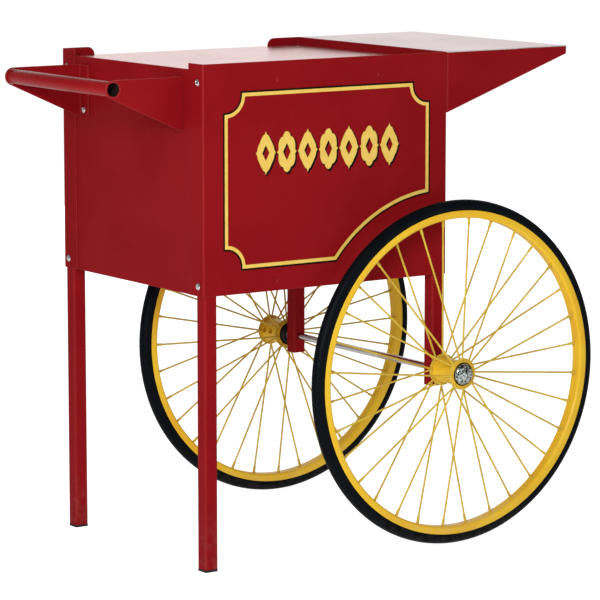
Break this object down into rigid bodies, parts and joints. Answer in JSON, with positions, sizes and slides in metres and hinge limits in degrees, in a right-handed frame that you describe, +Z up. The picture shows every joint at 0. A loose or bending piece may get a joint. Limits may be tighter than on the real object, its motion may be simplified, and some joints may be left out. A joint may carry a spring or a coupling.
{
  "type": "popcorn cart",
  "caption": "Sheet-steel serving cart on square legs and large wire-spoked wheels, with a push handle at one end, a tapered side shelf at the other and a recessed deck for a machine.",
  "frame": {"origin": "on the floor under the middle of the whole cart's bounding box", "axes": "+Z up; +X along the cart's length, from the push handle to the shelf and wheels; the decorated front panel faces -Y"},
  "size_m": [0.9489, 0.6222, 0.8636],
  "materials": {
    "red_enamel": "gloss deep red powder coat",
    "yellow_enamel": "satin warm yellow paint",
    "stainless": "polished stainless sheet",
    "tyre_rubber": "smooth black solid rubber",
    "black_plastic": "matt black moulded plastic",
    "chrome": "bright plated steel",
    "zinc_steel": "dull zinc plate"
  },
  "bodies": {
    "cart": {"front_panel": "red_enamel", "rear_panel": "red_enamel", "handle_end_panel": "red_enamel", "shelf_end_panel": "red_enamel", "deck": "stainless", "floor_pan": "red_enamel", "near_long_leg": "red_enamel", "far_long_leg": "red_enamel", "near_short_leg": "red_enamel", "far_short_leg": "red_enamel", "near_foot": "black_plastic", "far_foot": "black_plastic", "shelf_frame": "red_enamel", "shelf_top": "stainless", "near_handle_plate": "red_enamel", "far_handle_plate": "red_enamel", "handle_tube": "red_enamel", "axle": "chrome", "near_handle_end_top_screw": "chrome", "near_handle_end_bottom_screw": "chrome", "far_handle_end_top_screw": "chrome", "far_handle_end_bottom_screw": "chrome", "near_upper_shelf_screw": "chrome", "near_lower_shelf_screw": "chrome", "near_shelf_end_bottom_screw": "chrome", "far_upper_shelf_screw": "chrome", "far_lower_shelf_screw": "chrome", "far_shelf_end_bottom_screw": "chrome", "near_upper_handle_bolt": "chrome", "near_lower_handle_bolt": "chrome", "far_upper_handle_bolt": "chrome", "far_lower_handle_bolt": "chrome", "near_axle_nut": "zinc_steel", "far_axle_nut": "zinc_steel", "near_axle_washer": "zinc_steel", "far_axle_washer": "zinc_steel"},
    "near_wheel": {"near_tyre": "tyre_rubber", "near_rim": "yellow_enamel", "near_hub_barrel": "yellow_enamel", "near_outer_spokes": "yellow_enamel", "near_inner_spokes": "yellow_enamel", "near_inner_bush": "black_plastic", "near_outer_bush": "black_plastic", "near_hub_cap": "chrome"},
    "far_wheel": {"far_tyre": "tyre_rubber", "far_rim": "yellow_enamel", "far_hub_barrel": "yellow_enamel", "far_outer_spokes": "yellow_enamel", "far_inner_spokes": "yellow_enamel", "far_inner_bush": "black_plastic", "far_outer_bush": "black_plastic", "far_hub_cap": "chrome"}
  },
  "joints": [
    {"name": "near_wheel_spin", "type": "hinge", "parent": "cart", "child": "near_wheel", "pos_m": [0.1697, -0.2701, 0.3048], "axis": [0, 1, 0], "continuous": true},
    {"name": "far_wheel_spin", "type": "hinge", "parent": "cart", "child": "far_wheel", "pos_m": [0.1697, 0.2701, 0.3048], "axis": [0, 1, 0], "continuous": true}
  ]
}
